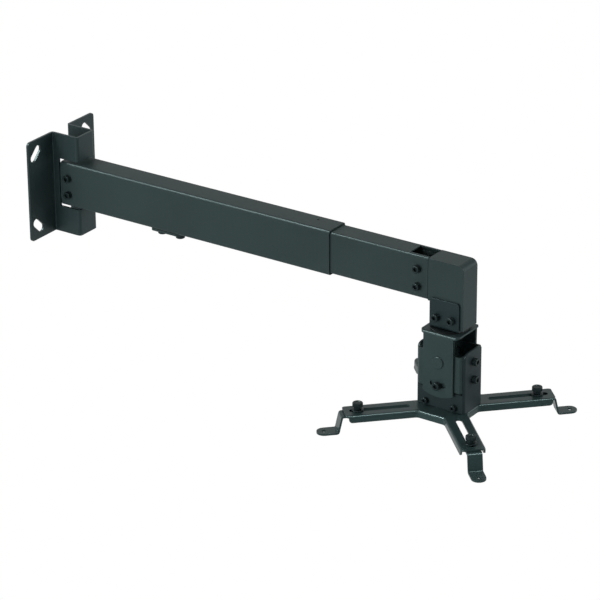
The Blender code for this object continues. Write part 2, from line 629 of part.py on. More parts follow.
def roll_frame(material):
    """A box with open sides: two tall end plates on the roll axis, low side walls round the spider."""
    place = (AXIS_X, 0, TILT_Z)
    ring = ring_mesh(ROLL_FRAME_LENGTH, ROLL_FRAME_WIDTH, SHEET + BEND, -ROLL_FRAME_BOTTOM, ROLL_PLATE_TOP)
    obj = mesh_object("roll_frame", ring, material, place)
    half = ROLL_FRAME_LENGTH / 2 - SHEET - GAP / 2
    high = 2 * ROLL_PLATE_TOP
    gap = [(-half, -ROLL_WALL_TOP), (half, -ROLL_WALL_TOP), (half, high), (-half, high)]
    combine(obj, "open_sides", prism_mesh(gap, "Y", -ROLL_FRAME_WIDTH, ROLL_FRAME_WIDTH))
    x, top = ROLL_FRAME_WIDTH / 2, ROLL_PLATE_TOP
    r = ROLL_PLATE_CORNER
    outline = [(-x, -2 * ROLL_FRAME_BOTTOM), (x, -2 * ROLL_FRAME_BOTTOM)]
    outline += arc((x - r, top - r), r, 0, 90, 5) + arc((-x + r, top - r), r, 90, 180, 5)
    combine(obj, "round_tops", prism_mesh(outline, "X", -ROLL_FRAME_LENGTH, ROLL_FRAME_LENGTH), "INTERSECT")
    drill(obj, "pivot_hole", "X", [(0, 0)], M5[0] / 2 + HOLE_GAP, -ROLL_FRAME_LENGTH, ROLL_FRAME_LENGTH)
    slot = arc_slot(ROLL_SLOT_RADIUS, ROLL_RANGE + slot_play(ROLL_SLOT_RADIUS), FRAME_SLOT_WIDTH)
    combine(obj, "roll_slot", prism_mesh(slot, "X", -ROLL_FRAME_LENGTH, ROLL_FRAME_LENGTH))
    places = frame_screw_places()
    drill(obj, "screw_hole", "Y", places, M4[0] / 2 + HOLE_GAP, -ROLL_FRAME_WIDTH, ROLL_FRAME_WIDTH)


def frame_screw_places():
    """Where the screws between roll frame and saddle stand, from the tilt axis, seen from the side."""
    z = -ROLL_FRAME_BOTTOM + FRAME_SCREW_UP
    return [(-FRAME_SCREW_SPACING / 2, z), (FRAME_SCREW_SPACING / 2, z)]


def head_fasteners(coat, black):
    """Pivots and lock bolts of the tilt and the roll, and the screws of the saddle."""
    center = Vector((AXIS_X, 0, TILT_Z))
    cheek = YOKE_WIDTH / 2 + GAP
    end = ROLL_FRAME_LENGTH / 2 + GAP
    wall = ROLL_FRAME_WIDTH / 2 + GAP
    grip = 2 * SHEET + 0.0035
    for side, label in ((-1, "near"), (1, "far")):
        pivot_pin(f"tilt_pivot_{label}", grip, center + Vector((0, side * cheek, 0)), (0, side, 0), coat)
        spot = center + Vector((0, side * cheek, -TILT_SLOT_RADIUS))
        screw(f"tilt_bolt_{label}", M5, grip, spot, (0, side, 0), black)
    for side, label in ((-1, "back"), (1, "front")):
        screw(f"roll_pivot_{label}", M5, grip, center + Vector((side * end, 0, 0)), (side, 0, 0), black)
        spot = center + Vector((side * end, 0, -ROLL_SLOT_RADIUS))
        screw(f"roll_bolt_{label}", M5, grip, spot, (side, 0, 0), black)
    number = 0
    for side in (-1, 1):
        for x, z in frame_screw_places():
            number += 1
            spot = center + Vector((x, side * wall, z))
            screw(f"frame_screw_{number}", M4, 2 * SHEET + 0.0025, spot, (0, side, 0), black)


def saddle(material, black):
    """A U riveted to the spider, screwed between the roll frame's side walls."""
    outer = ROLL_FRAME_WIDTH / 2 - SHEET - GAP - SHEET / 2
    base = -ROLL_FRAME_BOTTOM + SHEET / 2
    top = -ROLL_FRAME_BOTTOM + SADDLE_TAB
    section = folded_section([(-outer, top), (-outer, base), (outer, base), (outer, top)], SHEET, BEND)
    place = (AXIS_X, 0, TILT_Z)
    bent = prism_mesh(section, "X", -SADDLE_LENGTH / 2, SADDLE_LENGTH / 2)
    obj = mesh_object("saddle", bent, material, place)
    drill(obj, "screw_hole", "Y", frame_screw_places(), M4[0] / 2 + HOLE_GAP, -2 * outer, 2 * outer)
    rivets = [(sign * SADDLE_RIVET_SPACING / 2, 0) for sign in (-1, 1)]
    drill(obj, "rivet_hole", "Z", rivets, M4[0] / 2 + HOLE_GAP, base - SHEET, base + SHEET)
    top_face = TILT_Z - ROLL_FRAME_BOTTOM + SHEET + GAP
    under_face = SPIDER_TOP - ARM_SHEET - GAP
    profile = [(0.0020, top_face + RIVET_DOME), (0.0036, top_face + RIVET_DOME * 0.5), (0.0038, top_face),
               (0.002, top_face), (0.002, under_face), (0.0034, under_face),
               (0.003, under_face - RIVET_DOME * 0.6)]
    for (x, _), label in zip(rivets, ("back", "front")):
        mesh_object(f"saddle_rivet_{label}", lathe_mesh(profile, 16), black, (AXIS_X + x, 0, 0))


def spider_outline(inset, reach):
    """The cross of four arms round a rectangular hub, pulled in by inset."""
    half = ARM_WIDTH / 2 - inset
    corner = ARM_CORNER - inset
    fillet = HUB_FILLET + inset
    shift = fillet * math.tan(math.radians(22.5))
    outline = []
    for turn, hub_half in enumerate((HUB_HALF_Y, HUB_HALF_X, HUB_HALF_Y, HUB_HALF_X)):
        root = (hub_half - inset) * math.sqrt(2) - half     # where the arm's side meets the hub's edge
        quarter = arc((reach - corner, -half + corner), corner, -90, 0, 4)
        quarter += arc((reach - corner, half - corner), corner, 0, 90, 4)
        quarter += arc((root + shift, half + fillet), fillet, -90, -135, 3)
        mirror = [(y, x) for x, y in arc((root + shift, half + fillet), fillet, -90, -135, 3)]
        quarter += list(reversed(mirror))
        spin = Matrix.Rotation(math.radians(45 + 90 * turn), 2)
        outline += [tuple(spin @ Vector(p)) for p in quarter]
    return outline


def arm_place(angle, distance, across=0.0):
    """A point in plan beside the line of an arm."""
    spin = Matrix.Rotation(math.radians(angle), 2)
    return tuple(spin @ Vector((distance, across)))


def spider(material):
    """One pressing: hub and four slotted channel arms, flanges turned down."""
    bend = ARM_SHEET + BEND / 2
    turns = [math.radians(a) for a in (0, 30, 60, 90)]
    levels = [(bend * (1 - math.sin(a)), -bend * (1 - math.cos(a))) for a in turns]
    loops = [[(x, y, z) for x, y in spider_outline(inset, ARM_REACH_OUT)] for inset, z in levels]
    loops.append([(x, y, -ARM_DEPTH) for x, y in spider_outline(0, ARM_REACH_OUT)])
    obj = mesh_object("spider", loft_mesh(loops), material, (AXIS_X, 0, SPIDER_TOP))
    pocket = spider_outline(ARM_SHEET, ARM_REACH_OUT + 2 * ARM_CORNER)
    combine(obj, "pocket", prism_mesh(pocket, "Z", -2 * ARM_DEPTH, -ARM_SHEET))
    for label, angle in ARM_ANGLES.items():
        first = ARM_REACH_OUT - ARM_CORNER * (1 - FLANGE_WRAP)
        box = [arm_place(angle, s, w) for s, w in ((first, -ARM_WIDTH), (2 * first, -ARM_WIDTH),
                                                   (2 * first, ARM_WIDTH), (first, ARM_WIDTH))]
        combine(obj, f"open_end_{label}", prism_mesh(box, "Z", -2 * ARM_DEPTH, -bend))
        corner = arc((first - FLANGE_ROUND, FLANGE_ROUND - ARM_DEPTH), FLANGE_ROUND, -90, 0, 4)
        corner += [(first + ARM_CORNER, FLANGE_ROUND - ARM_DEPTH), (first + ARM_CORNER, -2 * ARM_DEPTH),
                   (first - FLANGE_ROUND, -2 * ARM_DEPTH)]
        sides = [[(*arm_place(angle, s, w), z) for s, z in corner] for w in (-ARM_WIDTH, ARM_WIDTH)]
        combine(obj, f"round_end_{label}", loft_mesh(sides))
        slot = capsule(arm_place(angle, ARM_SLOT_START), arm_place(angle, ARM_SLOT_END), ARM_SLOT_WIDTH / 2)
        combine(obj, f"slot_{label}", prism_mesh(slot, "Z", -ARM_DEPTH, ARM_DEPTH))
    rivets = [(sign * SADDLE_RIVET_SPACING / 2, 0) for sign in (-1, 1)]
    drill(obj, "rivet_hole", "Z", rivets, M4[0] / 2 + HOLE_GAP, -ARM_DEPTH, ARM_DEPTH)


def foot(label, material):
    """A Z-shaped strip under the arm, with a threaded collar and a round drilled pad."""
    angle = ARM_ANGLES[label]
    x, y = arm_place(angle, KNOB_AT[label])
    place = (AXIS_X + x, y, SPIDER_TOP + FOOT_TOP)
    high = -FOOT_SHEET / 2
    low = high - FOOT_DROP
    radius = FOOT_WIDTH / 2
    end = FOOT_TOP_LENGTH + FOOT_LEAN + FOOT_PAD_LENGTH
    path = [(-radius, high), (FOOT_TOP_LENGTH, high), (FOOT_TOP_LENGTH + FOOT_LEAN, low), (end, low)]
    section = folded_section(path, FOOT_SHEET, BEND)
    obj = mesh_object(f"foot_{label}", prism_mesh(section, "Y", -radius, radius), material, place, angle)
    shape = capsule((0, 0), (end - radius, 0), radius, 10)
    combine(obj, "round_ends", prism_mesh(shape, "Z", 2 * low, -low), "INTERSECT")
    collar = circle(FOOT_COLLAR / 2, 18)
    combine(obj, "collar", prism_mesh(collar, "Z", -FOOT_SHEET - FOOT_COLLAR_DEPTH, -FOOT_SHEET / 2), "UNION")
    drill(obj, "bolt_hole", "Z", [(0, 0)], M6[0] / 2 + HOLE_GAP, low, FOOT_SHEET)
    drill(obj, "pad_hole", "Z", [(end - radius, 0)], FOOT_HOLE / 2, 2 * low, 0)


def knob(label, black, steel):
    """A knurled thumb screw with a neck, on a washer, through the slot and into the foot's collar."""
    x, y = arm_place(ARM_ANGLES[label], KNOB_AT[label])
    place = (AXIS_X + x, y, SPIDER_TOP)
    bore = circle(M6[0] / 2 + HOLE_GAP, 18)
    washer = plate_mesh(circle(KNOB_WASHER_RADIUS, 24), [bore], "Z", GAP, GAP + KNOB_WASHER_THICKNESS)
    mesh_object(f"knob_washer_{label}", washer, steel, place)
    base = 2 * GAP + KNOB_WASHER_THICKNESS
    tip = FOOT_TOP - FOOT_SHEET - FOOT_COLLAR_DEPTH - 0.001
    r, top, neck = KNOB_RADIUS, base + KNOB_HEIGHT, base + KNOB_NECK_HEIGHT
    profile = [(r * 0.55, top - 0.0006, 0), (r * 0.62, top, 0), (r * 0.9, top, 0), (r, top - 0.0006, 1),
               (r, neck + 0.0007, 1), (r * 0.9, neck, 0), (KNOB_NECK, neck - 0.0004, 0), (KNOB_NECK, base, 0),
               (M6[0] / 2, base, 0), (M6[0] / 2, tip, 0)]
    loops = []
    for radius, z, ridged in profile:
        ring = circle(radius, 20)
        if ridged:
            ring = [tuple(Vector(p) * (1 - (i % 2) * KNOB_RIDGE / radius)) for i, p in enumerate(ring)]
        loops.append([(u, v, z) for u, v in ring])
    mesh_object(f"knob_{label}", loft_mesh(loops), black, place)


def build():
    """Make every piece."""
    for old in list(bpy.data.objects):
        bpy.data.objects.remove(old, do_unlink=True)
    coat = paint("charcoal powder coat", (0.045, 0.060, 0.060), 0.42, 0.25)
    black = paint("black oxide steel", (0.012, 0.014, 0.014), 0.35, 0.6)
    nylon = paint("black nylon", (0.010, 0.010, 0.011), 0.55, 0.0)
    wall_bracket(coat)
    bracket_bolts(black)
    outer_tube(coat)
    clamp(coat, black)
    inner_tube(coat)
    elbow(coat)
    elbow_screws(black)
    drop_bracket(coat)
    swivel(black, nylon)
    yoke(coat)
    tilt_frame(coat)
    roll_frame(coat)
    head_fasteners(coat, black)
    saddle(coat, black)
    spider(coat)
    for label in ARM_ANGLES:
        foot(label, coat)
        knob(label, black, black)


build()
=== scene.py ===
import json
import math

import bmesh
import bpy
import numpy as np
from mathutils import Matrix, Vector


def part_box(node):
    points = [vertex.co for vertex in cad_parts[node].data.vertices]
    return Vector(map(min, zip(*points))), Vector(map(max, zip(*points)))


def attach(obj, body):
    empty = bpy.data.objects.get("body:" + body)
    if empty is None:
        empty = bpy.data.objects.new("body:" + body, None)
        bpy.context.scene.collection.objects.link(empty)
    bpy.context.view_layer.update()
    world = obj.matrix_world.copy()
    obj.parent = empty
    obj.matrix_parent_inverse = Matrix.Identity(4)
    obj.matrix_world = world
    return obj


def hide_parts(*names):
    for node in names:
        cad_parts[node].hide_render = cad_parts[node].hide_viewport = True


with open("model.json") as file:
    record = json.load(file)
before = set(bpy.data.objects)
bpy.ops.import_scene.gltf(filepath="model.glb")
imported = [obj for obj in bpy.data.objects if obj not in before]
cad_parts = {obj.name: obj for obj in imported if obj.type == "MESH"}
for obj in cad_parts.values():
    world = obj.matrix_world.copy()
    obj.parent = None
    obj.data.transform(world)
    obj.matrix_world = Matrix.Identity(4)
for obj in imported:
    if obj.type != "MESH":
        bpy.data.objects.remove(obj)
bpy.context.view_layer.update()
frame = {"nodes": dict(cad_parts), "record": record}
nodes = frame["nodes"]
bodyOf = {node: body for body, members in frame["record"]["behaviour"]["bodies"].items() for node in members}
millimetre = 0.001
print("mount: frame loaded,", len(nodes), "nodes")


# shader helpers

def addNode(tree, kind, place, values=None, **settings):
    # one node, its plain settings by name and its socket values by name or number
    node = tree.nodes.new(kind)
    node.location = place
    for key, value in settings.items():
        setattr(node, key, value)
    for key, value in (values or {}).items():
        node.inputs[key].default_value = value
    return node


def newSkin(name, inputs):
    # a shader node group whose inputs are given as (name, kind, default), and whose outputs all skins share
    tree = bpy.data.node_groups.new(name, "ShaderNodeTree")
    for label, kind, value in inputs:
        socket = tree.interface.new_socket(name=label, in_out="INPUT", socket_type=kind)
        socket.default_value = value
    for label, kind in (("Colour", "NodeSocketColor"), ("Roughness", "NodeSocketFloat"),
                        ("Normal", "NodeSocketVector")):
        tree.interface.new_socket(name=label, in_out="OUTPUT", socket_type=kind)
    return tree, addNode(tree, "NodeGroupInput", (-1450, 0)), addNode(tree, "NodeGroupOutput", (200, 0))


def stretchNoise(tree, noise, low, place):
    # noise keeps near 0.5, so what lies between low and 1 - low is stretched over -1 to 1
    stretch = addNode(tree, "ShaderNodeMapRange", place,
                      {"From Min": low, "From Max": 1 - low, "To Min": -1.0, "To Max": 1.0})
    tree.links.new(noise.outputs["Fac"], stretch.inputs["Value"])
    return stretch.outputs["Result"]


def varyColour(tree, given, change, place):
    # Colour * (1 + Tone Spread * change)
    gain = addNode(tree, "ShaderNodeMath", place, {2: 1.0}, operation="MULTIPLY_ADD")
    tree.links.new(change, gain.inputs[0])
    tree.links.new(given.outputs["Tone Spread"], gain.inputs[1])
    tint = addNode(tree, "ShaderNodeVectorMath", (place[0] + 180, place[1]), operation="SCALE")
    tree.links.new(given.outputs["Colour"], tint.inputs[0])
    tree.links.new(gain.outputs[0], tint.inputs["Scale"])
    return tint.outputs[0]


def raiseRelief(tree, given, height, depth, place):
    # a bump of height * depth, in metres, with Relief for its strength
    bump = addNode(tree, "ShaderNodeBump", place, {"Distance": depth})
    tree.links.new(given.outputs["Relief"], bump.inputs["Strength"])
    tree.links.new(height, bump.inputs["Height"])
    return bump.outputs["Normal"]


def giveOut(tree, result, colour, roughness, normal):
    # what the skin gives to its material
    tree.links.new(colour, result.inputs["Colour"])
    tree.links.new(roughness, result.inputs["Roughness"])
    tree.links.new(normal, result.inputs["Normal"])


# the powder coat

powderLook = {
    "driftScale": 14.0,  # slow change of tone and gloss over a piece
    "driftLow": 0.3, "grainLow": 0.35,  # where the stretch of their noise starts
    "grainHeight": 0.45,  # height of the fine grain, against 1 for the orange peel
    "grainTone": 0.6,  # how much the grain changes the tone, against 1 for the slow drift
    "reliefDepth": 0.12 * millimetre,
}


def makeCoatGroup(look):
    # baked powder: a fine pebble grain over a wider orange peel, with a slow drift of tone and gloss
    tree, given, result = newSkin("powderSkin", [
        ("Colour", "NodeSocketColor", (0.04, 0.06, 0.06, 1)), ("Tone Spread", "NodeSocketFloat", 0.1),
        ("Gloss Spread", "NodeSocketFloat", 0.1), ("Roughness", "NodeSocketFloat", 0.5),
        ("Grain Scale", "NodeSocketFloat", 1500.0), ("Peel Scale", "NodeSocketFloat", 320.0),
        ("Relief", "NodeSocketFloat", 0.3)])
    where = addNode(tree, "ShaderNodeTexCoord", (-1200, 0))
    grain = addNode(tree, "ShaderNodeTexNoise", (-900, 260), {"Detail": 2.0, "Roughness": 0.6})
    peel = addNode(tree, "ShaderNodeTexNoise", (-900, 0), {"Detail": 1.0, "Roughness": 0.4})
    drift = addNode(tree, "ShaderNodeTexNoise", (-900, -260), {"Scale": look["driftScale"], "Detail": 3.0})
    for texture in (grain, peel, drift):
        tree.links.new(where.outputs["Object"], texture.inputs["Vector"])
    tree.links.new(given.outputs["Grain Scale"], grain.inputs["Scale"])
    tree.links.new(given.outputs["Peel Scale"], peel.inputs["Scale"])
    height = addNode(tree, "ShaderNodeMath", (-640, 120), {1: look["grainHeight"]}, operation="MULTIPLY_ADD")
    tree.links.new(grain.outputs["Fac"], height.inputs[0])
    tree.links.new(peel.outputs["Fac"], height.inputs[2])
    slow = stretchNoise(tree, drift, look["driftLow"], (-640, -160))
    speck = stretchNoise(tree, grain, look["grainLow"], (-640, -400))
    both = addNode(tree, "ShaderNodeMath", (-440, -260), {1: look["grainTone"]}, operation="MULTIPLY_ADD")
    tree.links.new(speck, both.inputs[0])
    tree.links.new(slow, both.inputs[2])
    gloss = addNode(tree, "ShaderNodeMath", (-80, -400), operation="MULTIPLY_ADD")
    tree.links.new(slow, gloss.inputs[0])
    tree.links.new(given.outputs["Gloss Spread"], gloss.inputs[1])
    tree.links.new(given.outputs["Roughness"], gloss.inputs[2])
    giveOut(tree, result, varyColour(tree, given, both.outputs[0], (-260, -160)), gloss.outputs[0],
            raiseRelief(tree, given, height.outputs[0], look["reliefDepth"], (-380, 120)))
    return tree


# turned steel and nylon

turnedLook = {
    "smearScale": 420.0, "smearLow": 0.3,  # patches of tone and gloss
    "glossSpread": 0.06,  # change of roughness from patch to patch
    "reliefDepth": 0.06 * millimetre,
}


def makeTurnedGroup(look):
    # lathe work: rings that follow the piece's own radius and height, kept in the attribute "lathe", in mm; a
    # piece without that attribute has the patches alone
    tree, given, result = newSkin("turnedSkin", [
        ("Colour", "NodeSocketColor", (0.02, 0.02, 0.02, 1)), ("Tone Spread", "NodeSocketFloat", 0.2),
        ("Roughness", "NodeSocketFloat", 0.35), ("Ring Scale", "NodeSocketFloat", 9.0),
        ("Relief", "NodeSocketFloat", 0.2)])
    lathe = addNode(tree, "ShaderNodeAttribute", (-1000, 200), attribute_name="lathe")
    where = addNode(tree, "ShaderNodeTexCoord", (-1000, -160))
    rings = addNode(tree, "ShaderNodeTexNoise", (-760, 200), {"Detail": 1.0})
    smear = addNode(tree, "ShaderNodeTexNoise", (-760, -160), {"Scale": look["smearScale"], "Detail": 3.0})
    tree.links.new(lathe.outputs["Vector"], rings.inputs["Vector"])
    tree.links.new(where.outputs["Object"], smear.inputs["Vector"])
    tree.links.new(given.outputs["Ring Scale"], rings.inputs["Scale"])
    patch = stretchNoise(tree, smear, look["smearLow"], (-520, -160))
    gloss = addNode(tree, "ShaderNodeMath", (-120, -240), {1: look["glossSpread"]}, operation="MULTIPLY_ADD")
    tree.links.new(patch, gloss.inputs[0])
    tree.links.new(given.outputs["Roughness"], gloss.inputs[2])
    giveOut(tree, result, varyColour(tree, given, patch, (-320, -60)), gloss.outputs[0],
            raiseRelief(tree, given, rings.outputs["Fac"], look["reliefDepth"], (-420, 220)))
    return tree


# finishes

def makeFinish(name, group, specular, glossTint, values):
    # one material: a skin group that feeds the Principled shader, with what doesn't vary on the shader itself
    material = bpy.data.materials.new(name)
    material.use_nodes = True
    tree = material.node_tree
    shader = tree.nodes["Principled BSDF"]
    shader.inputs["Specular IOR Level"].default_value = specular
    shader.inputs["Specular Tint"].default_value = glossTint
    skin = addNode(tree, "ShaderNodeGroup", (-260, 200), values, node_tree=group)
    tree.links.new(skin.outputs["Colour"], shader.inputs["Base Color"])
    tree.links.new(skin.outputs["Roughness"], shader.inputs["Roughness"])
    tree.links.new(skin.outputs["Normal"], shader.inputs["Normal"])
    material.diffuse_color = values["Colour"]
    return material


coatSkin = makeCoatGroup(powderLook)
turnedSkin = makeTurnedGroup(turnedLook)
whiteGloss = (1, 1, 1, 1)
coolGloss = (0.72, 1.0, 1.0, 1)
finishLooks = {  # skin group, specular level, tint of the gloss and values of the skin
    "sheetCoat": (coatSkin, 0.10, coolGloss, {
        "Colour": (0.027, 0.042, 0.042, 1), "Tone Spread": 0.07, "Gloss Spread": 0.05, "Roughness": 0.46,
        "Grain Scale": 1500.0, "Peel Scale": 340.0, "Relief": 0.35}),
    "tubeCoat": (coatSkin, 0.08, coolGloss, {
        "Colour": (0.027, 0.042, 0.042, 1), "Tone Spread": 0.05, "Gloss Spread": 0.04, "Roughness": 0.42,
        "Grain Scale": 1700.0, "Peel Scale": 300.0, "Relief": 0.22}),
    "headCoat": (coatSkin, 0.09, coolGloss, {
        "Colour": (0.028, 0.046, 0.046, 1), "Tone Spread": 0.08, "Gloss Spread": 0.06, "Roughness": 0.40,
        "Grain Scale": 1500.0, "Peel Scale": 380.0, "Relief": 0.30}),
    "armCoat": (coatSkin, 0.16, coolGloss, {
        "Colour": (0.021, 0.040, 0.040, 1), "Tone Spread": 0.08, "Gloss Spread": 0.06, "Roughness": 0.32,
        "Grain Scale": 1500.0, "Peel Scale": 340.0, "Relief": 0.35}),
    # painted shade: the same powder coat made darker for the wall bracket, standing in for the shade in its
    # web and flanges
    "paintedShadeCoat": (coatSkin, 0.18, coolGloss, {
        "Colour": (0.015, 0.026, 0.027, 1), "Tone Spread": 0.09, "Gloss Spread": 0.06, "Roughness": 0.44,
        "Grain Scale": 1500.0, "Peel Scale": 360.0, "Relief": 0.35}),
    "darkCoat": (coatSkin, 0.13, coolGloss, {
        "Colour": (0.011, 0.020, 0.022, 1), "Tone Spread": 0.09, "Gloss Spread": 0.06, "Roughness": 0.42,
        "Grain Scale": 1500.0, "Peel Scale": 360.0, "Relief": 0.35}),
    "frameCoat": (coatSkin, 0.06, coolGloss, {
        "Colour": (0.021, 0.032, 0.034, 1), "Tone Spread": 0.09, "Gloss Spread": 0.06, "Roughness": 0.42,
        "Grain Scale": 1500.0, "Peel Scale": 360.0, "Relief": 0.35}),
    "blackSteel": (turnedSkin, 0.12, coolGloss, {
        "Colour": (0.009, 0.015, 0.016, 1), "Tone Spread": 0.25, "Roughness": 0.38, "Ring Scale": 9.0,
        "Relief": 0.25}),
    # painted shadow: near black and nearly without gloss, so that the swivel disc stands in for the shadow in
    # the gap under the drop bracket
    "paintedShadowSteel": (turnedSkin, 0.02, coolGloss, {
        "Colour": (0.006, 0.008, 0.009, 1), "Tone Spread": 0.2, "Roughness": 0.5, "Ring Scale": 5.0,
        "Relief": 0.2}),
    "blackNylon": (turnedSkin, 0.3, whiteGloss, {
        "Colour": (0.008, 0.008, 0.009, 1), "Tone Spread": 0.15, "Roughness": 0.5, "Ring Scale": 4.0,
        "Relief": 0.15}),
}
finishes = {name: makeFinish(name, *look) for name, look in finishLooks.items()}
finishOf = {  # what isn't named here is black steel
    # the wall bracket takes the darker coat of painted shade
    "wall_bracket": "paintedShadeCoat", "outer_tube": "tubeCoat", "inner_tube": "tubeCoat", "elbow": "tubeCoat",
    "clamp_plate": "sheetCoat", "drop_bracket": "darkCoat", "yoke": "headCoat", "tilt_frame": "headCoat",
    "tilt_pivot_near": "headCoat", "tilt_pivot_far": "headCoat", "roll_frame": "frameCoat",
    "saddle": "frameCoat", "spider": "armCoat", "foot_left": "armCoat", "foot_front": "armCoat",
    "foot_right": "armCoat", "foot_back": "armCoat", "swivel_washer": "blackNylon",
    # the swivel disc takes the near-black finish of painted shadow
    "swivel_disc": "paintedShadowSteel",
}


def giveFinish(mesh, nodeName):
    mesh.materials.clear()
    mesh.materials.append(finishes[finishOf.get(nodeName, "blackSteel")])


for nodeName, node in nodes.items():
    giveFinish(node.data, nodeName)  # a node that no piece replaces has its finish too
print("mount: finishes made")


# mesh helpers

turnedSharpAngle = 38  # degrees: a turned surface has a crease where it bends more
ringSharpAngle = 50  # the same for a washer
axisRadius = 0.02  # mm, of the rows beside the poles


def addObject(name, data):
    obj = bpy.data.objects.new(name, data)
    bpy.context.scene.collection.objects.link(obj)
    return obj


def placePiece(obj, nodeName):
    # the piece stands for a CAD node: same body and the node's finish, and the node itself is hidden
    giveFinish(obj.data, nodeName)
    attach(obj, bodyOf[nodeName])
    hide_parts(nodeName)


def latheObject(name, points, faces, lathe, sharpAngle):
    # smooth faces with creases, and each point's place on the lathe in the attribute that its skin reads
    mesh = bpy.data.meshes.new(name)
    mesh.from_pydata(points.tolist(), [], faces)
    attribute = mesh.attributes.new("lathe", "FLOAT_VECTOR", "POINT")
    attribute.data.foreach_set("vector", lathe.astype(np.float32).ravel())
    mesh.validate()
    mesh.shade_smooth()
    mesh.set_sharp_from_angle(angle=math.radians(sharpAngle))
    return addObject(name, mesh)


def withPoles(grid):
    # the grid as one list of points, then the middle of its first row and the middle of its last
    return np.concatenate([grid.reshape(-1, 3), grid[0].mean(0)[None], grid[-1].mean(0)[None]])


def surfaceObject(name, points, lathe):
    # points is a (rows, columns, 3) grid that closes round its columns and is closed by a pole at each end
    rows, columns = points.shape[:2]
    row, column = np.meshgrid(np.arange(rows - 1), np.arange(columns), indexing="ij")
    here = row * columns + column
    beside = row * columns + (column + 1) % columns
    quads = np.stack([here, here + columns, beside + columns, beside], -1).reshape(-1, 4)
    around = np.arange(columns)
    after = (around + 1) % columns
    last = (rows - 1) * columns
    firstPole = rows * columns
    firstCap = np.stack([np.full(columns, firstPole), around, after], -1)
    lastCap = np.stack([np.full(columns, firstPole + 1), last + after, last + around], -1)
    faces = quads.tolist() + firstCap.tolist() + lastCap.tolist()
    return latheObject(name, withPoles(points), faces, withPoles(lathe), turnedSharpAngle)


def ringObject(name, points, lathe):
    # closes a ring grid round both its rows and its columns
    rows, columns = points.shape[:2]
    row, column = np.meshgrid(np.arange(rows), np.arange(columns), indexing="ij")
    ahead = (row + 1) % rows * columns
    beside = (column + 1) % columns
    quads = np.stack([row * columns + column, row * columns + beside, ahead + beside, ahead + column], -1)
    return latheObject(name, points.reshape(-1, 3), quads.reshape(-1, 4).tolist(), lathe, ringSharpAngle)


def standOn(points, spot, outward):
    # turns a grid made along +Z so that +Z becomes the outward direction, and moves it to its spot
    turn = Vector(outward).to_track_quat("Z", "Y").to_matrix()
    return points @ np.array(turn).T + np.array(spot)


def hexagonRadius(angle, apothem):
    # distance from the middle to the wall of a hexagon, in a direction: the apothem over the cosine of the
    # angle between that direction and the middle of its flat
    return apothem / np.cos(np.mod(angle, math.pi / 3) - math.pi / 6)


def turnedGrid(rows, columns, pitch, depth, ridges, ridgeDepth):
    # rows are (radius, height, hexagon share, thread share, ridge share), in mm. The radius goes from circle
    # to hexagon by its share. A thread takes depth * |2 p - 1| off it, where p is the fraction of a turn in
    # height / pitch - angle in turns. Ridges take ridgeDepth * |cos(angle * ridges / 2)| ^ 1.5 off it.
    radius, height, hexShare, threadShare, ridgeShare = [np.array(v, float)[:, None] for v in zip(*rows)]
    angle = np.linspace(0, 2 * math.pi, columns, endpoint=False)[None, :]
    reach = radius * (1 - hexShare) + hexagonRadius(angle, radius) * hexShare
    phase = np.mod(height / pitch - angle / (2 * math.pi), 1.0)
    reach = reach - threadShare * depth * np.abs(2 * phase - 1)
    reach = reach - ridgeShare * ridgeDepth * np.abs(np.cos(angle * ridges / 2)) ** 1.5
    level = height + 0 * angle
    points = np.stack([reach * np.cos(angle), reach * np.sin(angle), level], -1) * millimetre
    return points, np.stack([reach, level, 0 * level], -1)


def threadRows(radius, top, length, look, pitch):
    # rows down a shank from its top: the thread's share grows from 0 to 1 over the fade
    depths = np.arange(look["threadStart"], length - look["threadEnd"], pitch / look["rowsPerPitch"])
    shares = np.minimum(1.0, (depths - look["fadeStart"]) / look["fade"])
    return [(radius, top - depth, 0, share, 0) for depth, share in zip(depths, shares)]


# screws

screwSizes = {  # shank, head and socket across flats, height of the head, pitch, in mm
    "M6": {"shank": 6.0, "head": 10.0, "height": 6.0, "socket": 5.0, "pitch": 1.0},
    "M5": {"shank": 5.0, "head": 8.5, "height": 5.0, "socket": 4.0, "pitch": 0.8},
    "M4": {"shank": 4.0, "head": 7.0, "height": 4.0, "socket": 3.0, "pitch": 0.7},
}
screwLook = {  # for all screws: lengths are in mm
    "ridges": 28, "ridgeDepth": 0.16, "sidesPerRidge": 3,
    "socketFloor": 0.38, "socketSlope": 0.42, "socketFoot": 0.46,  # heights, as shares of the head's
    "rimDepth": 0.35, "rimSpread": 1.17,  # the socket's countersink, and its width as a share of the socket's
    "topRound": 0.75,  # width of the rounded edge of the head
    "fillet": 0.25,  # between head and shank
    "threadStart": 0.6, "threadEnd": 0.5,  # plain lengths under the head and before the tip
    "fadeStart": 0.6, "fade": 1.2,  # where the thread starts to grow, and over what length
    "threadDepth": 0.5,  # as a share of the pitch
    "rowsPerPitch": 4,
    "tipShare": 0.8, "tipRound": 0.86,  # radii of the tip, as shares of the shank's
}


